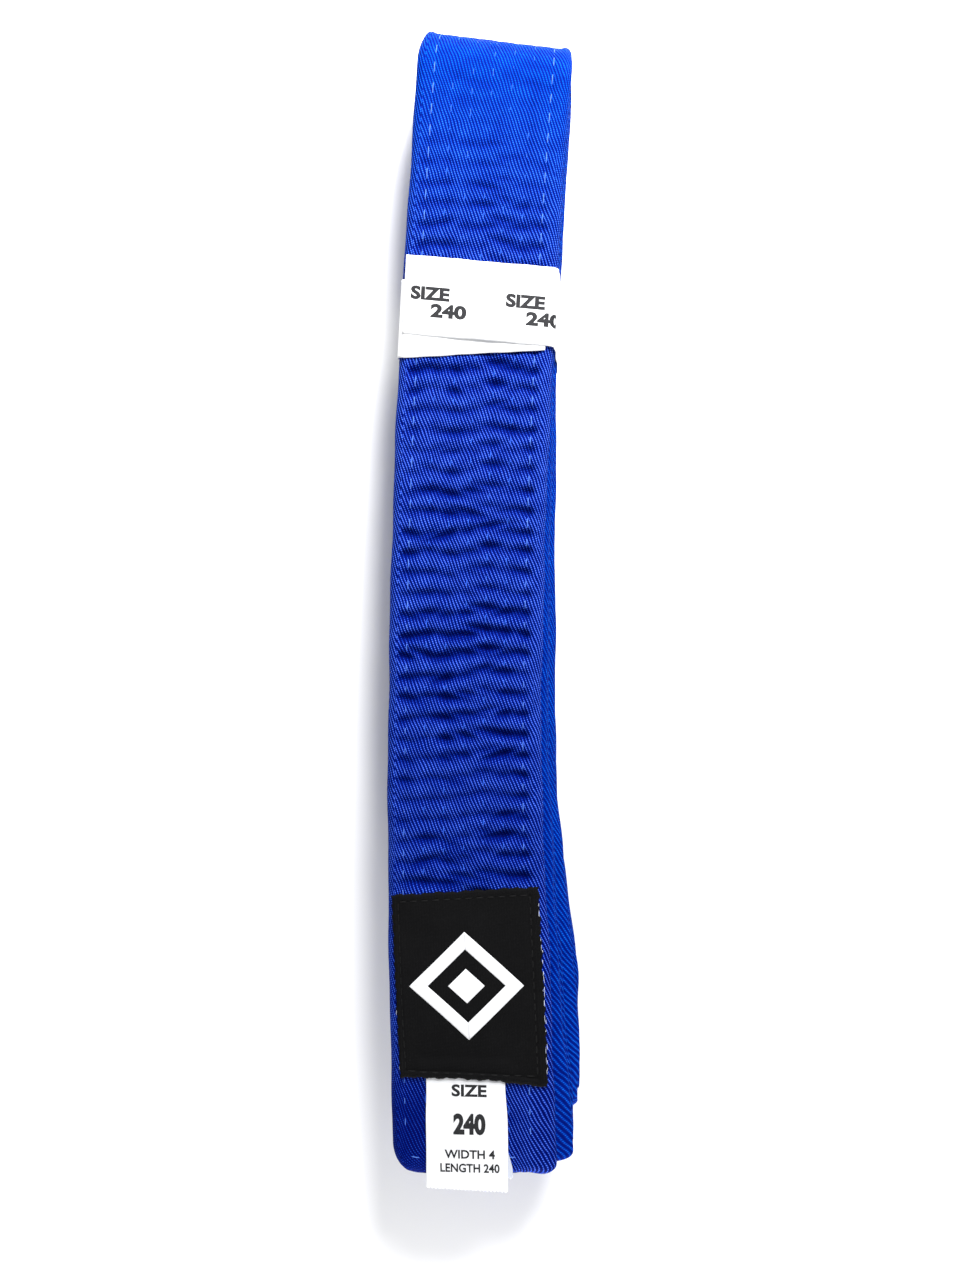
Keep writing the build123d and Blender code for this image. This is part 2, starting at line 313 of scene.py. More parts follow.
# ---- the strap's route
class Route:
    """The strap's middle line in the YZ plane, measured along it from the free tip."""

    def __init__(self, start):
        self.here = np.array(start, float)
        self.length = 0.0
        self.parts = []

    def line(self, finish):
        run = np.array(finish, float) - self.here
        size = float(np.hypot(*run))
        self.parts.append(("line", self.length, size, self.here, run / size))
        self.here = np.array(finish, float)
        self.length += size

    def half_turn(self, finish_z, bulge):
        radius = abs(finish_z - self.here[1]) / 2
        centre = np.array([self.here[0], (finish_z + self.here[1]) / 2])
        down = finish_z < self.here[1]
        start = math.pi / 2 if down else -math.pi / 2
        sweep = -bulge * math.pi if down else bulge * math.pi
        self.parts.append(("arc", self.length, math.pi * radius, centre, (radius, start, sweep)))
        self.here = np.array([self.here[0], finish_z])
        self.length += math.pi * radius

    def at(self, s):
        """Places and unit tangents, as (y, z) pairs, at an array of distances."""
        place, tangent = np.zeros((len(s), 2)), np.zeros((len(s), 2))
        for kind, begin, size, origin, data in self.parts:
            inside = (s >= begin - 1e-6) & (s <= begin + size + 1e-6)
            t = s[inside] - begin
            if kind == "line":
                place[inside] = origin + t[:, None] * data
                tangent[inside] = data
            else:
                radius, start, sweep = data
                angle = start + sweep * t / size
                place[inside] = origin + radius * np.stack([np.cos(angle), np.sin(angle)], 1)
                tangent[inside] = np.sign(sweep) * np.stack([-np.sin(angle), np.cos(angle)], 1)
        return place, tangent


def ply_z(ply):
    """Height of the middle of a ply, counted from the top."""
    return TOP_Z - HALF - (ply - 1) * PITCH


def strap_route():
    """From the tip on top, through seven folds, to the tip on ply 2."""
    far = FOLD_Y - 3.5 * PITCH - HALF
    nest = TIP_Y + LOOP_INSET + 1.5 * PITCH + HALF
    middle = TIP_Y + LOOP_INSET + 0.5 * PITCH + HALF
    turns = [(1, 8, far), (8, 5, nest), (5, 4, far), (4, 3, middle), (3, 6, far), (6, 7, nest), (7, 2, far)]
    way = Route((TIP_Y, ply_z(1)))
    for ply_a, ply_b, centre_y in turns:
        way.line((centre_y, ply_z(ply_a)))
        way.half_turn(ply_z(ply_b), 1 if centre_y == far else -1)
    way.line((TIP_Y, ply_z(2)))
    return way


route = strap_route()
TOP_RUN = route.parts[0][2]
FIRST_FOLD = route.parts[1][2]
SPLIT = TOP_RUN + FIRST_FOLD + (FOLD_Y - BAND_Y)


# ---- quilting
class Quilting:
    """Rows of stitches in one face of the strap, and the creases that their needle holes pull."""

    def __init__(self, seed, length):
        draw = np.random.default_rng(seed)
        self.count = int(length / STITCH_PITCH) + 6
        # The three rows on each side keep nearly in step, so that their creases run together
        phase = np.array([0.0, 0.06, 0.14, 0.45, 0.66, 0.58, 0.5]) + draw.uniform(0, 1)
        stretch = 1 + draw.uniform(-0.012, 0.012, ROWS)
        stretch[1], stretch[2] = stretch[0] + 0.0015, stretch[0] - 0.003
        stretch[5], stretch[4] = stretch[6] - 0.001, stretch[6] + 0.003
        self.first = (phase - 2) * STITCH_PITCH
        self.pitch = STITCH_PITCH * stretch
        field = draw.normal(0, 1, (ROWS + 1, self.count + 4))
        field = (field[:, :-2] + 2 * field[:, 1:-1] + field[:, 2:]) / 2.45
        strength = 0.92 + 0.42 * field[:ROWS, : self.count] + 0.3 * field[ROWS, : self.count]
        self.depth = np.clip(strength, 0.5, 1.5)
        self.reach_left = draw.uniform(*CREASE_REACH, (ROWS, self.count))
        self.reach_right = draw.uniform(*CREASE_REACH, (ROWS, self.count))
        self.reach_left[0] += LEFT_REACH
        self.slant = draw.normal(0, 0.13, (ROWS, self.count))
        self.wobble = draw.normal(0, 0.2, (ROWS, self.count))
        self.sink = draw.uniform(0, 1, (ROWS, self.count))
        self.tilt = draw.normal(0, 0.12, (ROWS, self.count))

    def hole(self, row, index):
        index = np.clip(index, 0, self.count - 1)
        return self.first[row] + index * self.pitch[row] + self.wobble[row, index]

    def crease(self, u, s, strength):
        """Depth of the creases, on the grid of s by u, where 1 is a full one."""
        total = np.zeros((len(s), len(u)))
        for row, x in enumerate(ROW_X):
            nearest = np.round((s - self.first[row]) / self.pitch[row]).astype(int)
            across = u[None, :] - x
            for step in (-1, 0, 1):
                index = np.clip(nearest + step, 0, self.count - 1)
                left, right = self.reach_left[row, index][:, None], self.reach_right[row, index][:, None]
                reach = np.where(across < 0, left, right)
                away = (s - self.hole(row, index))[:, None] - self.slant[row, index][:, None] * across
                away = np.sqrt(away**2 + 0.2**2)
                shape = np.clip(1 - away / CREASE_HALF, 0, 1) ** 1.6 * np.exp(-((across / reach) ** 2))
                total += (self.depth[row, index][:, None] * shape) ** 3
        calm = 1 - smooth(np.abs(u), FLAT - np.where(u < 0, 1.1, 2.4), FLAT)
        return np.cbrt(total) * strength[:, None] * calm[None, :]

    def height(self, u, s, strength):
        """Rise of the cloth in millimetres, on the grid of s by u."""
        phase = (u / ROW_PITCH) % 1.0
        puff = CHANNEL_PUFF * np.sin(math.pi * phase) ** 0.8
        from_row = np.minimum(phase, 1 - phase) * ROW_PITCH
        groove = ROW_GROOVE * np.exp(-((from_row / 0.5) ** 2))
        in_rows = smooth(np.abs(u), ROW_X[-1] + 2.2, ROW_X[-1] + 1.0)
        channels = ((puff - groove) * in_rows)[None, :] * (0.4 + 0.6 * strength[:, None])
        return channels - CREASE_DEPTH * self.crease(u, s, strength)


quilt_top = Quilting(11, route.length)
quilt_under = Quilting(23, route.length)


def pucker_strength(s):
    """Creases are weak under the patch and at the far fold, and strongest just beyond the patch."""
    near = 0.1 + 0.9 * smooth(s, 60, 78) + 0.22 * smooth(s, 74, 86) * smooth(s, 165, 125)
    on_top = smooth(s, TOP_RUN + FIRST_FOLD + 30, TOP_RUN + FIRST_FOLD)
    beyond_band = 1 - 0.3 * smooth(s, 222, 240) * on_top
    fold = smooth(s, 246, 278) * on_top
    return near * beyond_band * (1 - 0.75 * fold)


def tip_edges(s):
    """Left and right edge of the strap near either tip, with its corners rounded off."""
    back = np.minimum(s, route.length - s)
    edges = []
    for side, radius in ((-1, TIP_LEFT_RADIUS), (1, TIP_RIGHT_RADIUS)):
        t = np.clip(radius - back, 0, radius)
        edges.append(side * (BELT_WIDTH / 2 - (radius - np.sqrt(radius**2 - t**2))))
    return edges


def strap_profile(flat_step):
    """Round the strap from the left: place across, height from -1 to 1, and distance round."""
    count = int(round(FLAT / flat_step))
    flat = np.arange(-count, count + 1) * flat_step
    turn = np.linspace(0, math.pi, 13)[1:-1]
    edge_x = EDGE * np.sin(turn) ** EDGE_POINT
    edge_h = np.sign(np.cos(turn)) * np.abs(np.cos(turn)) ** EDGE_POINT
    across = np.concatenate([flat, FLAT + edge_x, flat[::-1], -FLAT - edge_x])
    height = np.concatenate([np.ones(len(flat)), edge_h, -np.ones(len(flat)), edge_h[::-1]])
    steps = np.hypot(np.diff(across, append=across[0]), np.diff(height, append=height[0]) * HALF)
    distance = np.concatenate([[0], np.cumsum(steps)]) - FLAT
    return across, height, distance, len(flat), len(turn)


def face_point(s, u, rise):
    """Points of the straight bundle at distances s, places u across, and rises from the middle line."""
    place, tangent = route.at(np.ravel(s))
    shape = np.shape(s)
    y = place[:, 0].reshape(shape) - tangent[:, 1].reshape(shape) * rise
    z = place[:, 1].reshape(shape) + tangent[:, 0].reshape(shape) * rise
    return np.stack([np.broadcast_to(u, y.shape), y, z], -1)


def strap_stations(runs):
    """Distances along the strap from runs of (start, finish, step), closer together at a tip."""
    spans = [np.linspace(a, b, int((b - a) / step) + 2)[:-1] for a, b, step in runs]
    s = np.concatenate(spans + [[runs[-1][1]]])
    rounding = TIP_ROUNDING * (1 - np.cos(np.linspace(0.06, math.pi / 2, 7)))
    if s[0] == 0:
        s = np.concatenate([rounding, s[s > TIP_ROUNDING + 0.2]])
    if abs(s[-1] - route.length) < 1e-6:
        s = np.concatenate([s[s < s[-1] - TIP_ROUNDING - 0.2], s[-1] - rounding[::-1]])
    return s


def strap_piece(name, runs, flat_step):
    """A length of the strap: rounded edges, quilted faces, and a rounded end at a tip."""
    across, height, distance, flats, turns = strap_profile(flat_step)
    s = strap_stations(runs)
    strength = pucker_strength(s)
    left, right = tip_edges(s)
    u = left[:, None] + (across[None, :] + BELT_WIDTH / 2) / BELT_WIDTH * (right - left)[:, None]
    back = np.clip(np.minimum(s, route.length - s) / TIP_ROUNDING, 0, 1)
    plump = np.sqrt(np.clip(1 - (1 - back) ** 2, 0, 1))
    rise = height[None, :] * (HALF * (0.04 + 0.96 * plump))[:, None]
    flat = across[:flats]
    under = slice(flats + turns, 2 * flats + turns)
    rise[:, :flats] += quilt_top.height(flat, s, strength) * plump[:, None]
    rise[:, under] -= quilt_under.height(flat, s, strength * 0.9)[:, ::-1] * plump[:, None]
    # Painted shade: the creases darken the cloth's colour by their depth, on both faces
    painted_shade = np.zeros(rise.shape)
    painted_shade[:, :flats] = quilt_top.crease(flat, s, strength)
    painted_shade[:, under] = quilt_under.crease(flat, s, strength * 0.9)[:, ::-1]
    # Besides the painted shade in the creases, painted shade darkens the cloth low on its edges, towards
    # the tip, and at the tip's left
    painted_shade += 0.15 * smooth(height, 0.1, -0.7) * (np.abs(across) > FLAT)
    painted_shade += 0.14 * smooth(s, 150, 60)[:, None]
    painted_shade += 0.75 * (smooth(s, 34, 14)[:, None] * smooth(across, 2, -13)[None, :])
    wave = (0.12 * np.sin(s / 7.3) + 0.08 * np.sin(s / 3.1 + 1.0)) * plump
    u = u + (np.abs(across) > FLAT)[None, :] * np.sign(across)[None, :] * wave[:, None]
    points = face_point(np.broadcast_to(s[:, None], u.shape), u, rise)
    lumps = 0.28 * np.sin(across / 1.7) + 0.2 * np.sin(across / 0.9 + 2)
    points[..., 1] += np.exp(-s / 2.5)[:, None] * lumps[None, :]
    around = len(across)
    faces = ring_faces(len(s), around).tolist()
    column = np.tile(np.arange(around), len(s) - 1)
    row = np.repeat(np.arange(len(s) - 1), around)
    corners = [(column, row), (column + 1, row), (column + 1, row + 1), (column, row + 1)]
    uv = np.stack([np.stack([distance[c], s[r]], 1) for c, r in corners], 1).reshape(-1, 2)
    caps = []
    for station, order in ((0, range(around - 1, -1, -1)), (len(s) - 1, range(around))):
        faces.append([station * around + k for k in order])
        caps.extend([distance[k], s[station]] for k in order)
    return make_object(name, points.reshape(-1, 3), faces, np.concatenate([uv, caps]) * MM, painted_shade)


# ---- threads
def stitches(quilt, row, side, start, finish, points):
    """Each stitch of a row between two distances: its line on the cloth, dipping in at both holes."""
    index = np.arange(quilt.count - 1)
    begin, end = quilt.hole(row, index), quilt.hole(row, index + 1)
    keep = (begin > start) & (end < finish)
    begin, end, index = begin[keep], end[keep], index[keep]
    t = np.linspace(0, 1, points)
    s = begin[:, None] + 0.3 + (end - begin - 0.6)[:, None] * t[None, :]
    surface = quilt.height(np.array([ROW_X[row]]), s.ravel(), pucker_strength(s.ravel())).reshape(s.shape)
    # Inner rows are sunk in the cloth everywhere, and the outer two only towards the tip
    sunk = 0.06 + 0.2 * quilt.sink[row, index][:, None]
    if row in (0, ROWS - 1):
        sunk = (0.05 + 0.16 * quilt.sink[row, index][:, None]) * smooth(begin, 190, 130)[:, None]
    lift = -0.5 + 0.61 * np.sin(math.pi * t[None, :]) ** 0.8 - sunk
    lean = quilt.tilt[row, index][:, None] * (t[None, :] - 0.5)
    return s, ROW_X[row] + lean, side * (HALF + surface + lift)


def joined(parts):
    """Several sets of points and faces put together."""
    points, faces, base = [], [], 0
    for p, f in parts:
        points.append(p)
        faces.extend([[v + base for v in face] for face in f])
        base += len(p)
    return np.concatenate(points), faces


def thread_piece(name, row, start, finish, points, around):
    """One row of stitching, both faces, over a length of the strap."""
    parts = []
    for quilt, side in ((quilt_top, 1), (quilt_under, -1)):
        s, u, rise = stitches(quilt, row, side, start, finish, points)
        centre = face_point(s, u, rise)
        up = face_point(s, u, rise + 1) - centre
        radius = THREAD_RADIUS if row in (0, ROWS - 1) else INNER_THREAD_RADIUS
        parts.append(tubes(centre, radius, pointing(centre, 1, 0, 0), up, around))
    return make_object(name, *joined(parts))


def tip_thread_piece(name):
    """The row of stitching across the tip, both faces."""
    parts = []
    begin = np.arange(ROW_X[0] + 0.4, ROW_X[-1] - 3.5, TIP_STITCH)
    t = np.linspace(0, 1, 9)
    u = begin[:, None] + 0.25 + 3.4 * t[None, :]
    s = np.full(u.shape, TIP_ROW_INSET) + 0.5 * smooth(u, ROW_X[0] + 4, ROW_X[0])
    for side in (1, -1):
        rise = side * (HALF - 0.42 + 0.5 * np.sin(math.pi * t[None, :]) ** 0.8) * np.ones(u.shape)
        centre = face_point(s, u, rise)
        along = pointing(centre, 0, 1, 0)
        parts.append(tubes(centre, THREAD_RADIUS, along, pointing(centre, 0, 0, 1), 6))
    return make_object(name, *joined(parts))


# ---- patch
def between(corners, a, b):
    """A place between four corners, given in turn, by its shares across and down."""
    top = corners[0] * (1 - a) + corners[1] * a
    bottom = corners[3] * (1 - a) + corners[2] * a
    return top * (1 - b) + bottom * b


def patch_place(a, b):
    """Straight x and y on the patch: a runs from its left to its right, b from its top down."""
    a, b = np.asarray(a)[..., None], np.asarray(b)[..., None]
    return between(PATCH_CORNERS, a, b)


PATCH_WIDTH = float(np.linalg.norm(patch_place(1, 0.5) - patch_place(0, 0.5)))
PATCH_LENGTH = float(np.linalg.norm(patch_place(0.5, 1) - patch_place(0.5, 0)))


def patch_edge_y(x):
    """Where the patch's lower edge is, on the straight bundle."""
    a = (x - PATCH_CORNERS[3][0]) / (PATCH_CORNERS[2][0] - PATCH_CORNERS[3][0])
    return patch_place(a, np.ones_like(a))[..., 1]


def patch_lift(x, y):
    """How far the label, tucked in below, raises the patch."""
    below = smooth(y, PATCH_CORNERS[2][1] + LABEL_TUCK + 2.5, PATCH_CORNERS[2][1] + LABEL_TUCK - 0.5)
    return 0.42 * below * smooth(np.abs(x - LABEL_ROOT_X), LABEL_WIDTH / 2 + 3.2, LABEL_WIDTH / 2 + 0.6)


def patch_top(x, y, inset):
    """Height of the patch's upper face, where inset is the distance from its edge."""
    hem = np.sin(math.pi * np.clip(inset / HEM_WIDTH, 0, 1)) ** 0.7 * HEM_RISE
    seam = 0.1 * np.exp(-(((inset - HEM_WIDTH) / 0.22) ** 2))
    rolling = 0.05 * np.sin(x / 3.3 + y / 9.0) + 0.05 * np.sin(y / 4.1 - x / 7.0)
    corner = np.sqrt(np.clip(1 - (1 - np.clip(inset / 0.4, 0, 1)) ** 2, 0, 1))
    thickness = 0.12 + (PATCH_THICKNESS - 0.12 + hem - seam) * corner
    return TOP_Z + PATCH_FLOAT + thickness + rolling * smooth(inset, 0.5, 3) + patch_lift(x, y)


def even_spaced_with_edges(length, step):
    """Places from 0 to 1 that are close together near both ends."""
    edge = np.array([0, 0.03, 0.08, 0.16, 0.28, 0.42, 0.6, 0.85, 1.15, 1.45, 1.7, 1.9, 2.1, 2.4, 2.8, 3.2])
    middle = np.linspace(3.6, length - 3.6, int((length - 7.2) / step) + 1)
    return np.concatenate([edge, middle, length - edge[::-1]]) / length


def patch_piece(name):
    a = even_spaced_with_edges(PATCH_WIDTH, 0.5)[None, :]
    b = even_spaced_with_edges(PATCH_LENGTH, 0.5)[:, None]
    a, b = np.broadcast_arrays(a, b)
    place = patch_place(a, b)
    x, y = place[..., 0], place[..., 1]
    inset = np.minimum(np.minimum(a, 1 - a) * PATCH_WIDTH, np.minimum(b, 1 - b) * PATCH_LENGTH)
    to_edge = np.exp(-inset / 1.2)
    ragged_x = np.sin(y * 2.1) + 0.6 * np.sin(y * 0.83 + 2) + 0.5 * np.sin(y * 4.7 + 1)
    ragged_y = np.sin(x * 1.9 + 1) + 0.8 * np.sin(x * 0.7) + 0.5 * np.sin(x * 4.3)
    x = x + to_edge * 0.15 * ragged_x * np.sign(a - 0.5)
    y = y + to_edge * 0.15 * ragged_y * np.sign(0.5 - b)
    droop = 0.9 * smooth(b, 0.8, 1) * (smooth(a, 0.72, 1.0) - 0.4 * smooth(np.abs(a - 0.45), 0.4, 0.1))
    y = y - droop
    top = np.stack([x, y, patch_top(x, y, inset)], -1)
    bottom = np.stack([x, y, TOP_Z + PATCH_FLOAT + patch_lift(x, y)], -1)
    return slab(name, top, bottom)


def patch_stitch_piece(name):
    """Black thread along the hem's inner edge."""
    parts = []
    inset_a, inset_b = HEM_WIDTH / PATCH_WIDTH, HEM_WIDTH / PATCH_LENGTH
    left, right, far, near = inset_a, 1 - inset_a, inset_b, 1 - inset_b
    corners = [(left, far), (right, far), (right, near), (left, near)]
    for first, last in zip(corners, corners[1:] + corners[:1]):
        start, finish = patch_place(*first), patch_place(*last)
        length = float(np.linalg.norm(finish - start))
        count = int(length / PATCH_STITCH)
        along = (finish - start) / length
        t = np.linspace(0, 1, 7)
        run = (np.arange(count)[:, None] + 0.12 + 0.76 * t[None, :]) * length / count
        xy = start + run[..., None] * along
        rise = -0.12 + 0.26 * np.sin(math.pi * t[None, :]) ** 0.7 * np.ones(run.shape)
        inset = np.full(run.shape, HEM_WIDTH)
        centre = np.concatenate([xy, (patch_top(xy[..., 0], xy[..., 1], inset) + rise)[..., None]], -1)
        side = pointing(centre, -along[1], along[0], 0)
        parts.append(tubes(centre, PATCH_THREAD_RADIUS, side, pointing(centre, 0, 0, 1), 6))
    return make_object(name, *joined(parts))


def fray_piece(name):
    """Pale ends of thread that stand out along the patch's right side, and a few on the others."""
    draw = np.random.default_rng(5)
    parts = []
    for number in range(FRAYS):
        on_right = number < FRAYS_ON_RIGHT
        b = draw.uniform(0.08, 0.97)
        a = 1 + draw.uniform(-0.004, 0.004) if on_right else draw.uniform(-0.002, 0.002)
        length = draw.uniform(0.5, 2.4)
        t = np.linspace(0, 1, 6)
        start = patch_place(a, b)
        drift = draw.normal(0, 0.12) * t + draw.normal(0, 0.2) * t * (1 - t)
        x = start[0] + drift
        y = start[1] - length * t
        z = TOP_Z + 0.42 + 0.24 * np.sin(math.pi * t) + draw.uniform(0, 0.15)
        centre = np.stack([x, y, z], -1)[None]
        side = pointing(centre, 1, 0, 0)
        parts.append(tubes(centre, draw.uniform(0.03, 0.055), side, pointing(centre, 0, 0, 1), 5))
    return make_object(name, *joined(parts))


def emblem_bar(corners):
    """Points and faces of one flat woven bar with four corners, in millimetres from the patch's middle."""
    a = np.linspace(0, 1, 9)[None, :, None]
    b = np.linspace(0, 1, 33)[:, None, None]
    flat = between(np.array(corners, float), a, b)
    place = patch_place(0.5 + flat[..., 0] / PATCH_WIDTH, 0.5 - flat[..., 1] / PATCH_LENGTH)
    inset = np.full(place.shape[:2], 10.0)
    crown = 0.05 * np.sin(math.pi * a[..., 0]) ** 0.5 * np.ones(inset.shape)
    z = patch_top(place[..., 0], place[..., 1], inset)
    top = np.concatenate([place, (z + 0.04 + crown)[..., None]], -1)
    bottom = np.concatenate([place, (z - 0.1)[..., None]], -1)
    return slab_mesh(top, bottom)


def emblem_piece(name):
    """A diamond outline with a small diamond in it."""
    outer = EMBLEM_SIDE / math.sqrt(2)
    inner = outer - EMBLEM_STROKE * math.sqrt(2)
    small = EMBLEM_STROKE * math.sqrt(2)
    ends = [(0, 1), (1, 0), (0, -1), (-1, 0)]
    parts = []
    for (ax, ay), (bx, by) in zip(ends, ends[1:] + ends[:1]):
        near = [(ax * outer, ay * outer), (ax * inner, ay * inner)]
        far = [(bx * inner, by * inner), (bx * outer, by * outer)]
        parts.append(emblem_bar(near + far))
    parts.append(emblem_bar([(0, small), (small, 0), (0, -small), (-small, 0)]))
    return make_object(name, *joined(parts))


# ---- label
def label_middle_x(y):
    return LABEL_ROOT_X + (LABEL_END_X - LABEL_ROOT_X) * (LABEL_ROOT_Y - y) / (LABEL_ROOT_Y - LABEL_END_Y)


def label_height(x, y, layer):
    """Height of the middle of a leaf: pressed under the patch, resting on the strap, free past the tip."""
    tucked = smooth(y, *LABEL_PRESSED)
    resting = LEAF_REST[0] + LEAF_REST[1] * layer
    pressed = LEAF_PRESS[0] + LEAF_PRESS[1] * layer
    rolling = 0.1 * np.sin(x / 4.2 + 0.6) * smooth(y, -126, -132) + 0.08 * np.sin(y / 5 + x / 9)
    droop = (0.35 - 0.1 * layer) * smooth(y, TIP_Y + 3, LABEL_END_Y - 1) ** 1.5
    curl = 0.35 * layer * smooth(x, 6, 10.5) * smooth(y, -140, LABEL_END_Y)
    return TOP_Z + resting * (1 - tucked) + pressed * tucked + rolling * (1 - tucked) - droop + curl


def label_leaf(name, layer, shift, short):
    """One satin leaf with a pinked end."""
    x = np.linspace(-LABEL_WIDTH / 2, LABEL_WIDTH / 2, 101)[None, :]
    top_y = LABEL_TOP_Y + LABEL_TUCK
    t = np.concatenate([np.linspace(0, 0.97, 84), [0.98, 0.99, 1.0]])[:, None]
    teeth = TOOTH * np.abs((x / TOOTH_PITCH) % 1.0 - 0.5) * 2
    end_y = LABEL_END_Y + short + teeth + LABEL_SLOPE * x
    y = top_y + (end_y - top_y) * t
    x = x * (1 - 0.012 * (layer == 0) - 0.035 * smooth(y, -137, -127))
    x = x + label_middle_x(y) + shift * smooth(y, -143, -150)
    x = x + 0.12 * np.sin(y / 6.0)
    z = label_height(x, y, layer)
    middle = np.stack([x, y, z], -1)
    half = np.array([0, 0, LEAF / 2])
    return slab(name, middle + half, middle - half)


# ---- paper band
def band_line():
    """The strip's middle line round the bundle, as (x, z) points, with distances from its inner end."""
    wide = BELT_WIDTH / 2 + BAND_CLEAR
    low = BOTTOM_Z - BAND_BELOW
    inner = TOP_Z + BAND_ABOVE
    outer = inner + PAPER + PAPER_GAP
    points = [np.array([[INNER_END_X, inner]])]

    def arc(cx, cz, start, finish):
        angle = np.radians(np.linspace(start, finish, 9))
        points.append(np.stack([cx + BAND_CORNER * np.cos(angle), cz + BAND_CORNER * np.sin(angle)], 1))

    arc(-wide + BAND_CORNER, inner - BAND_CORNER, 90, 180)
    arc(-wide + BAND_CORNER, low + BAND_CORNER, 180, 270)
    arc(wide - BAND_CORNER, low + BAND_CORNER, 270, 360)
    arc(wide - BAND_CORNER, outer - BAND_CORNER, 0, 90)
    points.append(np.array([[OUTER_END_X, outer - 0.04]]))
    line = np.concatenate(points)
    distance = np.concatenate([[0], np.cumsum(np.hypot(*np.diff(line, axis=0).T))])
    return line, distance


BAND_LINE, BAND_DISTANCE = band_line()
BAND_RUN = BAND_DISTANCE[-1]
OUTER_CORNER = BAND_DISTANCE[-2]


def band_middle_y(distance):
    """The strip is wound askew: where its middle is along the bundle, from inner end to outer end."""
    # At the inner end, where each of the four corners begins, and at the outer end
    places = [0, BAND_DISTANCE[1], BAND_DISTANCE[10], BAND_DISTANCE[19], BAND_DISTANCE[28], BAND_RUN]
    values = [BAND_Y - 0.9, BAND_Y - 4.3, BAND_Y - 3.4, BAND_Y - 0.6, BAND_Y + 0.1, BAND_Y + 2.0]
    return np.interp(distance, places, values)


def band_xz(distance):
    """Places on the strip's middle line."""
    x = np.interp(distance, BAND_DISTANCE, BAND_LINE[:, 0])
    z = np.interp(distance, BAND_DISTANCE, BAND_LINE[:, 1])
    return x, z


def band_point(distance, across, rise):
    """Points of the straight bundle on the strip: across runs along the bundle, rise is outwards."""
    x, z = band_xz(distance)
    step = 0.05
    after_x, after_z = band_xz(distance + step)
    before_x, before_z = band_xz(distance - step)
    run_x = after_x - before_x
    run_z = after_z - before_z
    size = np.hypot(run_x, run_z)
    outer = smooth(distance, OUTER_CORNER, OUTER_CORNER + 6)
    lower_edge = smooth(across, -BAND_LENGTH / 2 + 6, -BAND_LENGTH / 2)
    gape = BAND_GAPE * outer * lower_edge * np.exp(-(((x - 2) / 8) ** 2))
    rolling = 0.05 * np.sin(distance / 4.7 + across / 6) * outer
    rise = rise + gape + rolling + 0.06 * outer
    x = x + run_z / size * rise
    z = z - run_x / size * rise
    return np.stack([x, band_middle_y(distance) + across, z], -1)


def band_piece(name):
    distance = np.unique(np.concatenate([BAND_DISTANCE, np.arange(0, BAND_RUN, 0.8)]))[:, None]
    across = np.linspace(-BAND_LENGTH / 2, BAND_LENGTH / 2, 31)[None, :]
    distance, across = np.broadcast_arrays(distance, across)
    cut = 0.05 * np.sin(distance / 3.7) + 0.04 * np.sin(distance / 1.3)
    across = across + cut * np.sign(across)
    return slab(name, band_point(distance, across, PAPER / 2), band_point(distance, across, -PAPER / 2))


def glue_piece(name):
    distance = np.linspace(BAND_RUN - 14, BAND_RUN - 3, 12)[:, None]
    across = np.linspace(-2, 6, 9)[None, :]
    distance, across = np.broadcast_arrays(distance, across)
    low = -PAPER / 2 - 0.06
    return slab(name, band_point(distance, across, low + 0.04), band_point(distance, across, low))


# ---- lettering
def lettering(words, width, height, bold, step):
    """A thin mesh of the words, lower left corner at the origin, cut into small pieces so that it bends."""
    curve = bpy.data.curves.new("words", "FONT")
    curve.body = words
    curve.size = 1.0
    curve.offset = bold
    curve.extrude = 0.004
    curve.resolution_u = 4
    obj = new_object("words", curve)
    depsgraph = bpy.context.evaluated_depsgraph_get()
    mesh = bpy.data.meshes.new_from_object(obj.evaluated_get(depsgraph))
    bpy.data.objects.remove(obj)
    work = bmesh.new()
    work.from_mesh(mesh)
    bpy.data.meshes.remove(mesh)
    place = np.array([v.co for v in work.verts])
    low, high = place.min(0), place.max(0)
    for vert in work.verts:
        vert.co.x = (vert.co.x - low[0]) / (high[0] - low[0]) * width
        vert.co.y = (vert.co.y - low[1]) / (high[1] - low[1]) * height
        vert.co.z = 0.03 if vert.co.z > 0 else 0.0
    for axis, size in ((0, width), (1, height)):
        for cut in np.arange(step, size, step):
            normal = [float(axis == k) for k in range(3)]
            point = [cut * n for n in normal]
            everything = work.verts[:] + work.edges[:] + work.faces[:]
            bmesh.ops.bisect_plane(work, geom=everything, plane_co=point, plane_no=normal)
    work.verts.ensure_lookup_table()
    points = np.array([v.co for v in work.verts])
    faces = [[v.index for v in face.verts] for face in work.faces]
    work.free()
    return points, faces


def words_object(name, parts):
    """Several lines of lettering as one object with flat shading."""
    obj = make_object(name, *joined(parts))
    obj.data.polygons.foreach_set("use_smooth", [False] * len(obj.data.polygons))
    return obj


def label_print_piece(name):
    parts = []
    for words, drop, width, height, bold in LABEL_LINES:
        points, faces = lettering(words, width, height, bold, 1.5)
        y = patch_edge_y(np.zeros(1))[0] + 0.6 - drop + points[:, 1]
        x = label_middle_x(y) + 0.75 + points[:, 0] - width / 2
        y = y - 0.028 * x
        z = label_height(x, y, 1) + LEAF / 2 + INK_RISE + points[:, 2]
        parts.append((np.stack([x, y, z], -1), faces))
    return words_object(name, parts)


def band_print_piece(name):
    parts = []
    wide = BELT_WIDTH / 2 + BAND_CLEAR
    for words, left, width, up, height in BAND_LINES:
        points, faces = lettering(words, width, height, 0.05, 0.6)
        distance = OUTER_CORNER + (wide - BAND_CORNER) - (left + points[:, 0])
        parts.append((band_point(distance, up + points[:, 1], PAPER / 2 + INK_RISE + points[:, 2]), faces))
    return words_object(name, parts)


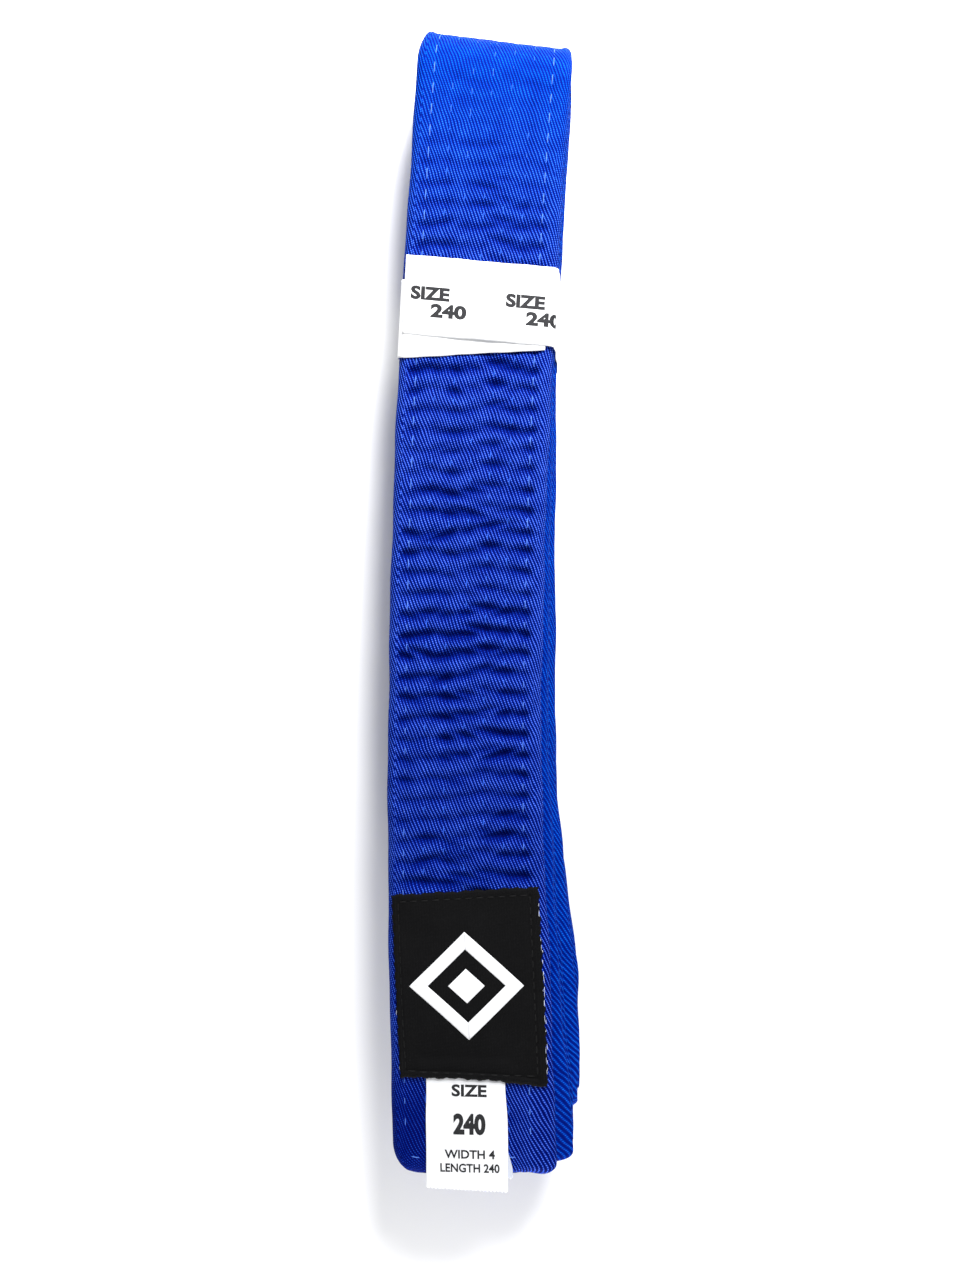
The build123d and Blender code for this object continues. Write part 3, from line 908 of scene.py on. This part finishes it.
# ---- materials
class Shading:
    """A material's node tree, with short calls that add a node and give back its output."""

    def __init__(self, name):
        self.material = bpy.data.materials.new(name)
        self.material.use_nodes = True
        self.nodes = self.material.node_tree.nodes
        self.links = self.material.node_tree.links
        self.shader = self.nodes["Principled BSDF"]

    def feed(self, socket, value):
        """Give a socket a number, a colour or another node's output."""
        if isinstance(value, tuple):
            socket.default_value = (*value, 1)
        elif isinstance(value, (int, float)):
            socket.default_value = value
        else:
            self.links.new(value, socket)

    def surface(self, **values):
        """Set the shader's own sockets, with underscores for the spaces in their names."""
        for name, value in values.items():
            self.feed(self.shader.inputs[name.replace("_", " ")], value)

    def split(self, vector):
        node = self.nodes.new("ShaderNodeSeparateXYZ")
        self.links.new(vector, node.inputs[0])
        return node.outputs[0], node.outputs[1]

    def calculate(self, operation, *values, clamp=False):
        node = self.nodes.new("ShaderNodeMath")
        node.operation = operation
        node.use_clamp = clamp
        for socket, value in zip(node.inputs, values):
            self.feed(socket, value)
        return node.outputs[0]

    def times(self, a, b):
        return self.calculate("MULTIPLY", a, b)

    def times_plus(self, a, b, c, clamp=False):
        return self.calculate("MULTIPLY_ADD", a, b, c, clamp=clamp)

    def mix_colour(self, factor, a, b, blend="MIX"):
        node = self.nodes.new("ShaderNodeMix")
        node.data_type = "RGBA"
        node.blend_type = blend
        for socket, value in zip((node.inputs[0], node.inputs[6], node.inputs[7]), (factor, a, b)):
            self.feed(socket, value)
        return node.outputs[2]

    def noise(self, vector, scale, detail=2.0):
        node = self.nodes.new("ShaderNodeTexNoise")
        self.feed(node.inputs["Scale"], scale)
        self.feed(node.inputs["Detail"], detail)
        self.feed(node.inputs["Vector"], vector)
        return node.outputs["Fac"]

    def wave(self, value, period):
        """A cosine of a length, from 0 to 1 and back over one period in metres."""
        cosine = self.calculate("COSINE", self.times(value, 2 * math.pi / period))
        return self.times_plus(cosine, 0.5, 0.5)

    def bump(self, height, distance, strength):
        node = self.nodes.new("ShaderNodeBump")
        self.feed(node.inputs["Distance"], distance)
        self.feed(node.inputs["Strength"], strength)
        self.feed(node.inputs["Height"], height)
        self.feed(self.shader.inputs["Normal"], node.outputs["Normal"])


TWILL_PERIOD = 0.79 * MM
TWILL_ANGLE = math.radians(68)
FLOAT_PERIOD = 0.57 * MM
FLOAT_SLOPE = -0.3
# Painted light that makes the twill paler towards the top fold, and the strength of the painted shade from
# the mesh
PAINTED_FOLD_LIGHT_RUN = 0.055
PAINTED_FOLD_LIGHT_TONE = 0.56
PAINTED_FOLD_LIGHT_TINT = (0.05, 0.98, 1.0)
PAINTED_SHADE_STRENGTH = -0.42
# Twill tones from groove to rib top: part the weave's own tone, part painted shade in the grooves and
# painted highlight on the rib tops, the palest stop
BLUES = [
    (0.0, (0.0, 0.0018, 0.085)),
    (0.35, (0.0, 0.0115, 0.205)),
    (0.65, (0.0015, 0.038, 0.40)),
    (1.0, (0.10, 0.20, 0.85)),
]


def twill_material():
    """Blue cotton twill: steep ribs of floats over a darker ground, palest on their tops and darkest in
    their grooves, part the weave's own tone and part painted highlight and painted shade; towards the top
    fold painted light makes it paler and smoother, and painted shade from the mesh darkens it.
    """
    tree = Shading("blue_twill")
    strap = tree.nodes.new("ShaderNodeUVMap")
    strap.uv_map = "strap"
    place = strap.outputs["UV"]
    u, s = tree.split(place)
    wander = tree.times(tree.noise(place, 110), 1.1 * MM)
    rib_line = tree.times_plus(s, math.cos(TWILL_ANGLE), tree.times(u, math.sin(TWILL_ANGLE)))
    rib_line = tree.calculate("ADD", rib_line, wander)
    rib = tree.calculate("POWER", tree.wave(rib_line, TWILL_PERIOD), 1.4)
    float_line = tree.calculate("ADD", tree.times_plus(u, FLOAT_SLOPE, s), wander)
    height = tree.times(rib, tree.times_plus(tree.wave(float_line, FLOAT_PERIOD), 0.5, 0.5))
    fuzz = tree.noise(place, 2400, 2)
    patchy = tree.noise(place, 230, 3)
    # The tone follows the ribs' height: painted shade low in the grooves, painted highlight on the rib tops
    tone = tree.times_plus(height, 1.14, -0.455)
    tone = tree.times_plus(fuzz, 0.42, tone)
    tone = tree.times_plus(patchy, 0.45, tone)
    # Painted light: towards the top fold the tone is pulled to an even, paler mid-blue
    from_fold = tree.calculate("SUBTRACT", TOP_RUN * MM, s)
    painted_fold_light = tree.times_plus(from_fold, -1 / PAINTED_FOLD_LIGHT_RUN, 1.0, clamp=True)
    flatter = tree.times(tree.calculate("SUBTRACT", PAINTED_FOLD_LIGHT_TONE, tone), 0.42)
    tone = tree.times_plus(flatter, painted_fold_light, tone)
    # Painted shade: the mesh's darkening for creases, low edges, the near end and the tip's left lowers the
    # tone
    painted_shade = tree.nodes.new("ShaderNodeAttribute")
    painted_shade.attribute_name = "painted_shade"
    tone = tree.times_plus(painted_shade.outputs["Fac"], PAINTED_SHADE_STRENGTH, tone, clamp=True)
    ramp = tree.nodes.new("ShaderNodeValToRGB")
    for position, _ in BLUES[1:-1]:
        ramp.color_ramp.elements.new(position)
    for element, (position, colour) in zip(ramp.color_ramp.elements, BLUES):
        element.position = position
        element.color = (*colour, 1)
    tree.feed(ramp.inputs[0], tone)
    # Painted light at the top fold: its red is multiplied out
    tinted = tree.mix_colour(painted_fold_light, ramp.outputs[0], PAINTED_FOLD_LIGHT_TINT, "MULTIPLY")
    tree.surface(Base_Color=tinted, Roughness=0.7, Specular_IOR_Level=0.02)
    tree.surface(Sheen_Weight=0.03, Sheen_Roughness=0.4, Sheen_Tint=(0.1, 0.35, 1.0))
    tree.bump(height, 0.15 * MM, 0.9)
    return tree.material


def woven_material(name, dark, light, spacing, roughness, depth, specular):
    """A fine plain weave: crossing threads, with fibres and slight patchiness."""
    tree = Shading(name)
    period = spacing * MM
    place = tree.nodes.new("ShaderNodeTexCoord").outputs["Object"]
    across, along = tree.split(place)
    height = tree.times(tree.wave(across, period), tree.wave(along, period * 0.85))
    fibres = tree.noise(place, 3000)
    patchy = tree.noise(place, 140, 3)
    tone = tree.times_plus(fibres, 0.4, tree.times(height, 0.5))
    tone = tree.times_plus(patchy, 0.3, tone, clamp=True)
    colour = tree.mix_colour(tone, dark, light)
    tree.surface(Base_Color=colour, Roughness=roughness, Specular_IOR_Level=specular)
    tree.bump(height, depth * MM, 0.8)
    return tree.material


def speckled_material(name, dark, light, scale, roughness, depth, specular):
    """Thread, ink, paper or glue: two close tones in a fine noise, which is also its relief."""
    tree = Shading(name)
    grain = tree.noise(tree.nodes.new("ShaderNodeTexCoord").outputs["Object"], scale, 3)
    colour = tree.mix_colour(grain, dark, light)
    tree.surface(Base_Color=colour, Roughness=roughness, Specular_IOR_Level=specular)
    tree.bump(grain, depth * MM, 0.6)
    return tree.material


# Each row: name, dark and light colour, thread spacing in millimetres, roughness, relief, specular level
WOVEN = [
    ("black_patch", (0.002, 0.002, 0.0022), (0.009, 0.009, 0.0095), 0.42, 0.75, 0.06, 0.03),
    ("white_weave", (0.70, 0.71, 0.74), (0.92, 0.92, 0.93), 0.36, 0.5, 0.03, 0.3),
    # A greyer copy of label_satin: painted shade on the back leaf, under the front leaf
    ("satin_painted_shade", (0.50, 0.53, 0.62), (0.66, 0.69, 0.78), 0.30, 0.42, 0.02, 0.4),
    ("label_satin", (0.78, 0.79, 0.82), (0.94, 0.94, 0.95), 0.30, 0.42, 0.02, 0.4),
]
# The same, with a noise scale for the thread spacing
SPECKLED = [
    ("blue_thread", (0.03, 0.11, 0.48), (0.13, 0.27, 0.82), 2200, 0.6, 0.05, 0.1),
    # A darker copy of blue_thread: painted shade for the inner rows, sunk in the cloth
    ("thread_painted_shade", (0.008, 0.065, 0.44), (0.05, 0.16, 0.8), 2200, 0.6, 0.05, 0.05),
    ("black_thread", (0.003, 0.003, 0.003), (0.013, 0.013, 0.0135), 2400, 0.65, 0.05, 0.1),
    ("pale_thread", (0.55, 0.6, 0.75), (0.85, 0.88, 0.95), 2400, 0.55, 0.03, 0.25),
    ("white_paper", (0.84, 0.85, 0.87), (0.93, 0.93, 0.93), 500, 0.4, 0.015, 0.4),
    ("black_ink", (0.010, 0.010, 0.012), (0.03, 0.03, 0.032), 1800, 0.55, 0.01, 0.2),
    ("grey_ink", (0.010, 0.010, 0.012), (0.026, 0.026, 0.029), 1800, 0.55, 0.01, 0.2),
    ("clear_glue", (0.75, 0.70, 0.55), (0.85, 0.80, 0.68), 900, 0.3, 0.02, 0.5),
]
looks = {"blue_twill": twill_material()}
looks.update((row[0], woven_material(*row)) for row in WOVEN)
looks.update((row[0], speckled_material(*row)) for row in SPECKLED)


def finish_piece(obj, look):
    obj.data.materials.append(looks[look])
    return obj


# ---- all the pieces
top_runs = [(0, TOP_RUN, 0.5), (TOP_RUN, SPLIT, 1.0)]
free_length = strap_piece("belt_free_length", top_runs, FLAT / 28)
rest_runs = [(SPLIT, route.length, 1.6)]
folded_length = strap_piece("belt_folded_length", rest_runs, FLAT / 14)
for piece in (free_length, folded_length):
    finish_piece(piece, "blue_twill")

free_threads = []
folded_threads = []
for row in range(ROWS):
    inset = TIP_ROW_INSET + (3.0 if row in (0, ROWS - 1) else 0.0)
    fine = thread_piece(f"free_stitches_{row + 1}", row, inset, SPLIT, 9, 6)
    coarse = thread_piece(f"folded_stitches_{row + 1}", row, SPLIT, route.length - inset, 6, 4)
    # Inner rows get a darker copy of the same thread: painted shade where they sink in the cloth
    thread = "blue_thread" if row in (0, ROWS - 1) else "thread_painted_shade"
    free_threads.append(finish_piece(fine, thread))
    folded_threads.append(finish_piece(coarse, thread))
tip_threads = finish_piece(tip_thread_piece("tip_stitches"), "blue_thread")

patch = finish_piece(patch_piece("woven_patch"), "black_patch")
patch_threads = finish_piece(patch_stitch_piece("patch_stitches"), "black_thread")
frays = finish_piece(fray_piece("patch_frays"), "pale_thread")
emblem = finish_piece(emblem_piece("patch_diamond"), "white_weave")
back_leaf = label_leaf("label_back", 0, BACK_LEAF_SHIFT, BACK_LEAF_SHORT)
front_leaf = label_leaf("label_front", 1, 0.0, 0.0)
# The back leaf has painted shade: a greyer copy of the label satin
finish_piece(back_leaf, "satin_painted_shade")
finish_piece(front_leaf, "label_satin")
label_words = finish_piece(label_print_piece("label_words"), "black_ink")
band = finish_piece(band_piece("paper_strip"), "white_paper")
band_words = finish_piece(band_print_piece("band_words"), "grey_ink")
band_spot = finish_piece(glue_piece("glue_spot"), "clear_glue")


for piece in [free_length] + free_threads:
    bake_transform(piece)
for piece in [folded_length] + folded_threads:
    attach(piece, "bundle")
for piece in (tip_threads, patch, patch_threads, frays, emblem):
    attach(piece, "belt_end")
for piece in (front_leaf, back_leaf, label_words):
    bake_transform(piece)
for piece in (band, band_words, band_spot):
    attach(piece, "band")

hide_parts("end_cover", *[f"end_padding_strip_{n}" for n in range(1, 5)])
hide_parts("belt_cover", *[f"padding_strip_{n}" for n in range(1, 5)])
for row in range(ROWS):
    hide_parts(f"end_stitch_row_{row + 1}")
    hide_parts(f"stitch_row_{row + 1}")
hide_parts("tip_stitching")
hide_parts("patch")
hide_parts("patch_stitching")
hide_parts("patch_emblem")
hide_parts("size_label", "label_seam_allowance")
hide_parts("label_back_leaf")
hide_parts("label_print")
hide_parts("paper_band")
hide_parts("band_print")
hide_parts("band_glue")

# ---- stage, light and camera
CAMERA_PLACE = (0.0199, -0.0084, 0.3599)
CAMERA_TURN = (-0.2, 3.2, 1.42)
FOCAL_LENGTH = 35.16
SENSOR_HEIGHT = 36.0


def make_camera():
    data = bpy.data.cameras.new("camera")
    data.sensor_fit = "VERTICAL"
    data.sensor_height = SENSOR_HEIGHT
    data.lens = FOCAL_LENGTH
    data.clip_start = 0.01
    camera = new_object("camera", data)
    camera.location = CAMERA_PLACE
    camera.rotation_euler = [math.radians(a) for a in CAMERA_TURN]
    bpy.context.scene.camera = camera


def area_light(name, place, target, size, power):
    data = bpy.data.lights.new(name, "AREA")
    data.shape = "DISK"
    data.size = size
    data.energy = power
    light = new_object(name, data)
    light.location = place
    x, y, z = (t - p for t, p in zip(target, place))
    light.rotation_euler = (math.atan2(math.hypot(x, y), -z), 0, math.atan2(-x, y))


def make_floor():
    mesh = bpy.data.meshes.new("floor")
    half = 2.5
    corners = [(-half, -half, 0), (half, -half, 0), (half, half, 0), (-half, half, 0)]
    mesh.from_pydata(corners, [], [(0, 1, 2, 3)])
    floor = new_object("floor", mesh)
    tree = Shading("floor")
    tree.surface(Base_Color=(0.93, 0.93, 0.93), Roughness=0.9, Specular_IOR_Level=0.1)
    mesh.materials.append(tree.material)


def make_world():
    world = bpy.data.worlds.new("world")
    world.use_nodes = True
    background = world.node_tree.nodes["Background"]
    background.inputs[0].default_value = (0.97, 0.98, 1.0, 1)
    background.inputs[1].default_value = 0.34
    bpy.context.scene.world = world


make_camera()
make_floor()
make_world()
area_light("key", (0.17, 0.44, 0.5), (0, 0.0, 0), 0.2, 5.5)
area_light("far_end", (0.05, 0.31, 0.21), (0, 0.1, 0), 0.1, 1.5)
area_light("fill", (-0.4, -0.4, 0.9), (0, 0, 0), 0.8, 1.3)
area_light("low_front", (0.03, -0.42, 0.05), (0, -0.16, 0), 0.06, 1.5)
bpy.context.scene.view_settings.view_transform = "Standard"
